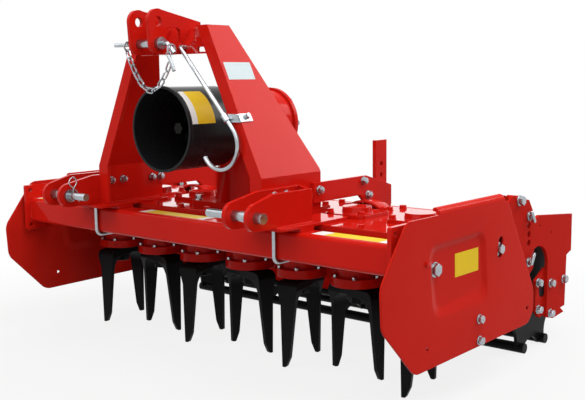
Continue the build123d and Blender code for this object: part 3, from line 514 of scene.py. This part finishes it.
tin_plate = vinyl_film("tin_plate", (0.58, 0.67, 0.69, 1))
plate_corners = ((-4, 289), (100, 289), (100, 341), (-4, 341))
press_film([on_tower(*corner) for corner in plate_corners], "tower_plate", tin_plate)
brace_bolts = []
for setback, height in ((213, 543), (424, 550), (447, 506)):
    brace_bolts += both_sides(outer_face, setback, height)
for setback, height in ((190, 541), (226, 541)):
    brace_bolts += both_sides(inner_face, setback, height, -outward)
set_plated_bolts(bolt_head(0.019, 0.010, 0.003), brace_bolts, "brace_bolts")

# Top pin, chain and hook rod: turned and bent round bar, zinc plated. A
# short lynch pin hangs from the handle's ring by its own small ring.
dress(zinc_plate, "top_link_pin", "hook_rod", "hook_clip", "pin_chain")
pin_line = -96
lynch_line = pin_line - 9
lynch_top = spot(96, lynch_line, 922)
lynch_way = (spot(116, lynch_line, 880) - lynch_top).normalized()
set_plated_bolts(bolt_head(0.010, 0.046, 0.0, 16), [(lynch_top, lynch_way)], "lynch_pin")
pin_tail = [(spot(-111.5, pin_line, 957), -outward)]
set_plated_bolts(bolt_head(0.012, 0.030, 0.0, 20), pin_tail, "pin_tail_end")
ring_radius = 9
ring = []
for turn in range(12):
    across = ring_radius * cos(turn * pi / 5)
    rise = ring_radius * sin(turn * pi / 5)
    ring.append(spot(95 + across, lynch_line, 925 + rise))
bent_wire(ring, 0.003, "lynch_ring")
clip_sheet = 0.004
clip_bolt = [(on_tower(9, 178) + clip_sheet * tower_out, tower_out)]
set_plated_bolts(bolt_head(0.014, 0.008, 0.002), clip_bolt, "hook_clip_bolt")

# Gearbox and drive: a cast casing in the same red with a bolted cover and
# plugs, a black moulded guard with blank films and a splined steel shaft.
dress(red_enamel, "gearbox", "gearbox_cover")
black_plastic = sprayed_enamel(
    "black_plastic", (0.007, 0.007, 0.008, 1), (0.012, 0.012, 0.013, 1), 0.12, 0.22, 0.10
)
dress(black_plastic, "pto_guard")
# The shaft's bright steel is painted near black: painted shade for the shadow inside the guard.
shade_dark_steel = plated_steel(
    "shade_dark_steel", (0.006, 0.006, 0.005, 1), (0.018, 0.018, 0.016, 1), 0.3
)
dress(shade_dark_steel, "pto_shaft")
drive_height = 718
rear = Vector((0, 1, 0))
cover_circle = 96
cover_face = 414
gearbox_bolts = []
for turn in range(8):
    across = cover_circle * cos(turn * pi / 4)
    rise = cover_circle * sin(turn * pi / 4)
    gearbox_bolts.append((spot(across, cover_face, drive_height + rise), rear))
flange_thickness = 16
flange_reach = 112
gearbox_bolts += square_of_bolts(0, flange_reach, lid_top + flange_thickness)
set_plated_bolts(bolt_head(0.019, 0.012, 0.003), gearbox_bolts, "gearbox_bolts")
casing_half = 104
plugs = [
    (spot(0, 320, drive_height + casing_half), up),
    (spot(casing_half, 340, drive_height), outward),
]
set_plated_bolts(bolt_head(0.030, 0.016, 0.005), plugs, "gearbox_plugs")
guard_wall = 120.2
film_start = radians(8)
film_sweep = radians(54)
film_x = guard_wall * cos(film_start)
film_height = drive_height + guard_wall * sin(film_start)
for tone, first, last in ((white_film, -46, -24), (yellow_film, -24, 44)):
    shape = bmesh.new()
    ends = [shape.verts.new(spot(film_x, setback, film_height)) for setback in (first, last)]
    edge = shape.edges.new(ends)
    bmesh.ops.spin(
        shape,
        geom=[*ends, edge],
        cent=spot(0, 0, drive_height),
        axis=(0, -1, 0),
        angle=film_sweep,
        steps=18,
        use_merge=False,
        use_duplicate=False,
    )
    bmesh.ops.recalc_face_normals(shape, faces=shape.faces)
    finish_piece(shape, f"guard_{tone.name}", tone, "frame")

# Braces and levelling board behind the rotors: plate and strip, painted red.
# Under each brace arm a bent saddle, welded to it, bridges to the lid.
dress(red_enamel, "brace_arms", "levelling_board", "levelling_posts")
saddle_x = 372
saddle_middle = 387
saddle_reach = 103
saddle_lean = radians(51)
saddle_section = ((-4, -25), (4, -25), (4, 25), (-4, 25))
start = Vector((cos(saddle_lean), 0, sin(saddle_lean)))
saddles = bmesh.new()
for side in (-1, 1):
    middle = spot(side * saddle_x, saddle_line, saddle_middle)
    corners = []
    for out, along in saddle_section:
        edge = middle + start * (saddle_reach + out) / 1000
        corners.append(saddles.verts.new(edge + Vector((0, along / 1000, 0))))
    end_face = saddles.faces.new(corners)
    bmesh.ops.spin(
        saddles,
        geom=[*corners, *end_face.edges, end_face],
        cent=middle,
        axis=(0, -1, 0),
        angle=pi - 2 * saddle_lean,
        steps=20,
        use_merge=False,
        use_duplicate=False,
    )
bmesh.ops.holes_fill(saddles, edges=saddles.edges, sides=4)
bmesh.ops.recalc_face_normals(saddles, faces=saddles.faces)
long_edges = [edge for edge in saddles.edges if edge.calc_face_angle(0) > radians(60)]
bmesh.ops.bevel(
    saddles, geom=long_edges, offset=0.0015, affect="EDGES", segments=2, profile=0.5, material=-1
)
finish_piece(saddles, "brace_saddles", lid_enamel, "frame")

# Roller and its arms: plate arms and sectors in red, a black welded cage, and
# plated bolts. Plated pins with collars and toggles set the depth.
# The arms, sectors and cross tube take a darker copy of the red enamel: painted shade for their
# place low behind the deflectors.
shaded_arm_enamel = sprayed_enamel(
    "shaded_arm_enamel", (0.43, 0.010, 0.005, 1), (0.52, 0.014, 0.008, 1), 0.006, 0.06, 0.05
)
dress(shaded_arm_enamel, "depth_sectors", "roller_arms", "roller_cross_tube")
dress(black_enamel, "roller")
dress(zinc_plate, "arm_pivots", "depth_pins", "deflector_studs")
sector_face = 763
sector_bolts = both_sides(sector_face, 633, 498.5)
set_plated_bolts(bolt_head(0.024, 0.013, 0.003), sector_bolts, "sector_bolts")
carrier_face = 750
bearing_plate_face = 740
carrier_bolts = []
for face, setback, height in (
    (carrier_face, 881, 209),
    (carrier_face, 881, 112),
    (carrier_face, 974, 206),
    (bearing_plate_face, 813, 220),
    (bearing_plate_face, 816, 135),
):
    carrier_bolts += both_sides(face, setback, height)
set_plated_bolts(bolt_head(0.021, 0.012, 0.003), carrier_bolts, "carrier_bolts", "roller_arms")
collars = both_sides(sector_face, 694.4, 445.5) + both_sides(sector_face, 694.7, 307.3)
set_plated_bolts(bolt_head(0.028, 0.005, 0.0, 20), collars, "depth_pin_collars")


def toggle_bar(length, width, thick, turn):
    """A flat bar with round ends, bevelled all round its top and turned in its own plane."""
    shape = bmesh.new()
    bmesh.ops.create_cone(
        shape,
        cap_ends=True,
        segments=20,
        radius1=width / 2,
        radius2=width / 2,
        depth=thick,
        matrix=Matrix.Translation((0, 0, thick / 2)),
    )
    for way in (-1, 1):
        end = [vert for vert in shape.verts if way * vert.co.x > 0.001 * width]
        bmesh.ops.translate(shape, vec=(way * (length - width) / 2, 0, 0), verts=end)
    rim = [edge for edge in shape.edges if all(v.co.z > 0.9 * thick for v in edge.verts)]
    bmesh.ops.bevel(
        shape, geom=rim, offset=0.25 * thick, affect="EDGES", segments=3, profile=0.5, material=-1
    )
    bmesh.ops.rotate(shape, cent=(0, 0, 0), matrix=Matrix.Rotation(turn, 3, "Z"), verts=shape.verts)
    return shape


toggle_face = 773
for name, length, turn, places in (
    ("upper", 0.044, radians(-56), both_sides(toggle_face, 696, 444)),
    ("lower", 0.040, radians(58), both_sides(toggle_face, 700, 317)),
):
    toggle = toggle_bar(length, 0.012, 0.007, turn)
    set_plated_bolts(toggle, places, f"depth_pin_{name}_toggles", twist=0.0)

# Side deflectors: sheet with a pressed field and a top edge rolled in, sprayed
# red, held by the arm pivot, a stud in a slot and two bolts; one blank yellow
# film each. They stand for the plain sheets, with the press's round corners.
deflector_enamel = sprayed_enamel(
    "deflector_enamel", (0.50, 0.013, 0.007, 1), (0.59, 0.017, 0.010, 1), 0.018, 0.06, 0.05, 0.003
)
sheet_face = 780
sheet_thickness = 0.005
sheet_rounding = 0.017
sheet_top = 513
fold_front = 170
fold_rear = 512
fold_radius = 18
press_depth = 8
sheet_corners = (
    (23, sheet_top),
    (fold_front, sheet_top),
    (fold_rear, sheet_top),
    (530, sheet_top),
    (700, 230),
    (702, 162),
    (671, 128),
    (60, 124),
    (-80, 265),
    (-86, 371),
)
fold_ends = (1, 2)  # these corners of the sheet stay plain for the fold
press_rim = ((116, 443), (408, 447), (429, 232), (142, 244))
rim_rounding = 0.038
press_floor = ((146, 416), (386, 427), (398, 298), (172, 276))
floor_rounding = 0.028
slot_middle = Vector((491, 385))
slot_turn = radians(80)
slot_along = Vector((30 * cos(slot_turn), 30 * sin(slot_turn)))
slot_across = Vector((-13 * sin(slot_turn), 13 * cos(slot_turn)))
slot_corners = [
    slot_middle + end * slot_along + turn * slot_across
    for end, turn in ((-1, -1), (1, -1), (1, 1), (-1, 1))
]
slot_rounding = 0.0128
hole_corners = ((655, 169), (669, 169), (669, 183), (655, 183))
hole_rounding = 0.0068
key_corners = [
    (115 + 9 * cos(turn * pi / 1.5), 177 + 9 * sin(turn * pi / 1.5)) for turn in range(3)
]


def cut_line(shape, corners, x, rounding=0.0, plain=()):
    """A closed line on a side plate, round at all but its plain corners; gives its edges."""
    ring = [shape.verts.new(spot(x, *corner)) for corner in corners]
    shape.faces.new(ring)
    if rounding:
        bends = [vert for count, vert in enumerate(ring) if count not in plain]
        bmesh.ops.bevel(
            shape,
            geom=bends,
            offset=rounding,
            affect="VERTICES",
            segments=6,
            profile=0.5,
            material=-1,
        )
    line = [edge for face in shape.faces for edge in face.edges]
    bmesh.ops.delete(shape, geom=shape.faces[:], context="FACES_ONLY")
    return line


for side, name in ((1, "right"), (-1, "left")):
    sheet = bmesh.new()
    outline = cut_line(sheet, sheet_corners, sheet_face, sheet_rounding, fold_ends)
    rim = cut_line(sheet, press_rim, sheet_face, rim_rounding)
    sunk_line = cut_line(sheet, press_floor, sheet_face - press_depth, floor_rounding)
    holes = cut_line(sheet, slot_corners, sheet_face, slot_rounding)
    holes += cut_line(sheet, hole_corners, sheet_face, hole_rounding)
    holes += cut_line(sheet, key_corners, sheet_face)
    bmesh.ops.triangle_fill(sheet, use_beauty=True, edges=outline + rim + holes, normal=(1, 0, 0))
    slope = bmesh.ops.bridge_loops(sheet, edges=rim + sunk_line)
    bmesh.ops.edgeloop_fill(sheet, edges=sunk_line)
    bmesh.ops.subdivide_edges(sheet, edges=slope["edges"], cuts=9, use_grid_fill=True)
    for vert in sheet.verts:
        sunk = (sheet_face - 1000 * vert.co.x) / press_depth
        vert.co.x = (sheet_face - press_depth * sunk * sunk * (3 - 2 * sunk)) / 1000
    fold_line = [
        edge
        for edge in sheet.edges
        if all(
            (vert.co - spot(sheet_face, setback, sheet_top)).length < 0.0001
            for vert, setback in zip(
                sorted(edge.verts, key=lambda vert: vert.co.y), (fold_front, fold_rear)
            )
        )
    ]
    bmesh.ops.spin(
        sheet,
        geom=[*fold_line[0].verts, fold_line[0]],
        cent=spot(sheet_face - fold_radius, 0, sheet_top),
        axis=(0, -1, 0),
        angle=pi / 2,
        steps=12,
        use_merge=False,
        use_duplicate=False,
    )
    bmesh.ops.remove_doubles(sheet, verts=sheet.verts, dist=0.00001)
    bmesh.ops.scale(sheet, vec=(side, 1, 1), verts=sheet.verts)
    bmesh.ops.recalc_face_normals(sheet, faces=sheet.faces)
    broad = max(sheet.faces, key=lambda face: face.calc_area())
    if broad.normal.x * side < 0:
        bmesh.ops.reverse_faces(sheet, faces=sheet.faces)
    bmesh.ops.solidify(sheet, geom=sheet.faces[:], thickness=sheet_thickness)
    piece = finish_piece(
        sheet, f"deflector_sheet_{name}", deflector_enamel, "frame", 12
    )
    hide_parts(f"deflector_{name}")
pivots = both_sides(sheet_face - press_depth, 159, 375)
set_plated_bolts(bolt_head(0.030, 0.011, 0.003), pivots, "pivot_heads")
small_bolts = both_sides(sheet_face, 376, 203) + both_sides(sheet_face, 378, 143)
set_plated_bolts(bolt_head(0.020, 0.011, 0.003), small_bolts, "deflector_bolts")
stud_step = 4
studs = both_sides(sheet_face - stud_step, 491, 379)
set_plated_bolts(bolt_head(0.024, 0.012), studs, "stud_nuts")
rivets = both_sides(sheet_face, 110, 398)
rivet_head = bolt_head(0.013, 0.005, 0.0, 16)
set_bolts(rivet_head, rivets, "deflector_rivets", red_enamel, "frame")
film_face = 772.2
film_corners = ((260, 337), (381, 337), (379, 400), (258, 400))
for name, x, corners in (
    ("right", film_face, film_corners),
    ("left", -film_face, film_corners[::-1]),
):
    press_film([spot(x, *corner) for corner in corners], f"deflector_film_{name}", yellow_film)

# Floor: a wide pale sheet, matt where light falls on it, that takes the
# machine's shadow. To the camera and in gloss it fades outwards to white.
floor_half = 9.0
fade_start = 0.8
fade_end = 2.0
near_white = 0.84
floor_mesh = bmesh.new()
bmesh.ops.create_grid(floor_mesh, x_segments=1, y_segments=1, size=floor_half)
floor_data = bpy.data.meshes.new("floor")
floor_mesh.to_mesh(floor_data)
floor_mesh.free()
floor = bpy.data.objects.new("floor", floor_data)
bpy.context.scene.collection.objects.link(floor)
floor_paint, wire = new_material("pale_floor")
place = wire.node("ShaderNodeTexCoord", {}, {}, output=3)
reach = wire.node("ShaderNodeVectorMath", {"operation": "LENGTH"}, {0: place}, output=1)
fade = wire.node(
    "ShaderNodeMapRange",
    {"interpolation_type": "SMOOTHSTEP"},
    {0: reach, 1: fade_start, 2: fade_end, 3: near_white, 4: 1.0},
)


def background_rays(wire):
    """Rays that should see the white backdrop: from the camera, in gloss and through glass."""
    path = wire.tree.nodes.new("ShaderNodeLightPath")
    seen = Wire(wire.tree, path.outputs["Is Camera Ray"])
    seen = seen + Wire(wire.tree, path.outputs["Is Glossy Ray"])
    return seen + Wire(wire.tree, path.outputs["Is Transmission Ray"])


matt = wire.node("ShaderNodeBsdfDiffuse", {}, {"Color": (0.50, 0.50, 0.50, 1)})
white = wire.node("ShaderNodeEmission", {}, {"Color": (1, 1, 1, 1), "Strength": 1.0})
pale = wire.node("ShaderNodeMixShader", {}, {0: fade * background_rays(wire), 1: matt, 2: white})
close_material(wire, pale)
floor_data.materials.append(floor_paint)

# Light: an even pale room with a brighter ceiling and large soft boxes, as in
# a studio: before the machine, over it, at both ends and behind it.
horizon = -0.05
ceiling = 0.8
wall_glow = 0.2
ceiling_glow = 0.5
world = bpy.data.worlds.new("studio")
bpy.context.scene.world = world
world.use_nodes = True
world.node_tree.nodes.clear()
wire = Wire(world.node_tree)
sky = wire.node("ShaderNodeTexCoord", {}, {}, output=0)
height = wire.node("ShaderNodeSeparateXYZ", {}, {0: sky}, output=2)
glow = wire.node(
    "ShaderNodeMapRange",
    {"interpolation_type": "SMOOTHSTEP"},
    {0: height, 1: horizon, 2: ceiling, 3: wall_glow, 4: ceiling_glow},
)
room = wire.node("ShaderNodeBackground", {}, {"Color": (1, 1, 1, 1), "Strength": glow})
backdrop = wire.node("ShaderNodeBackground", {}, {"Color": (1, 1, 1, 1), "Strength": 1.0})
out = wire.tree.nodes.new("ShaderNodeOutputWorld")
shader = wire.node("ShaderNodeMixShader", {}, {0: background_rays(wire), 1: room, 2: backdrop})
wire.tree.links.new(shader.socket, out.inputs["Surface"])
aim = Vector((0, 0, 0.5))
for name, lamp_place, width, tall, power in (
    ("front_box", Vector((-0.4, -3.4, 2.9)), 2.4, 2.4, 54),
    ("top_box", Vector((1.3, -0.5, 4.0)), 2.0, 2.0, 64),
    ("right_box", Vector((2.7, -2.3, 3.0)), 2.4, 2.4, 34),
    ("left_box", Vector((-3.2, -1.2, 2.6)), 2.4, 2.4, 20),
    ("rear_right_box", Vector((1.79, 2.14, 2.52)), 1.8, 1.8, 64),
    ("rear_left_box", Vector((-3.4, 3.6, 1.4)), 4.4, 2.2, 22),
):
    lamp = bpy.data.lights.new(name, "AREA")
    lamp.shape = "RECTANGLE"
    lamp.size = width
    lamp.size_y = tall
    lamp.energy = power
    box = bpy.data.objects.new(name, lamp)
    box.visible_camera = False
    box.location = lamp_place
    box.rotation_euler = (aim - lamp_place).to_track_quat("-Z", "Y").to_euler()
    bpy.context.scene.collection.objects.link(box)

# Camera: where the photograph was taken from, off the front right corner and
# just under the height of the headstock.
camera_place = Vector((1.9823, front - 1.7936, 0.8559))
yaw = radians(40.69)
pitch = radians(-7.52)
roll = radians(-0.69)
forward = Vector((-sin(yaw) * cos(pitch), cos(yaw) * cos(pitch), sin(pitch)))
level = Vector((cos(yaw), sin(yaw), 0))
upward = level.cross(forward)
right = level * cos(roll) + upward * sin(roll)
top = upward * cos(roll) - level * sin(roll)
lens = bpy.data.cameras.new("photo_view")
lens.sensor_width = 36.0
lens.lens = 56.47
camera = bpy.data.objects.new("photo_view", lens)
turn = Matrix((right, top, -forward)).transposed().to_4x4()
camera.matrix_world = Matrix.Translation(camera_place) @ turn
bpy.context.scene.collection.objects.link(camera)
bpy.context.scene.camera = camera
bpy.context.scene.view_settings.view_transform = "Standard"

bpy.context.view_layer.update()
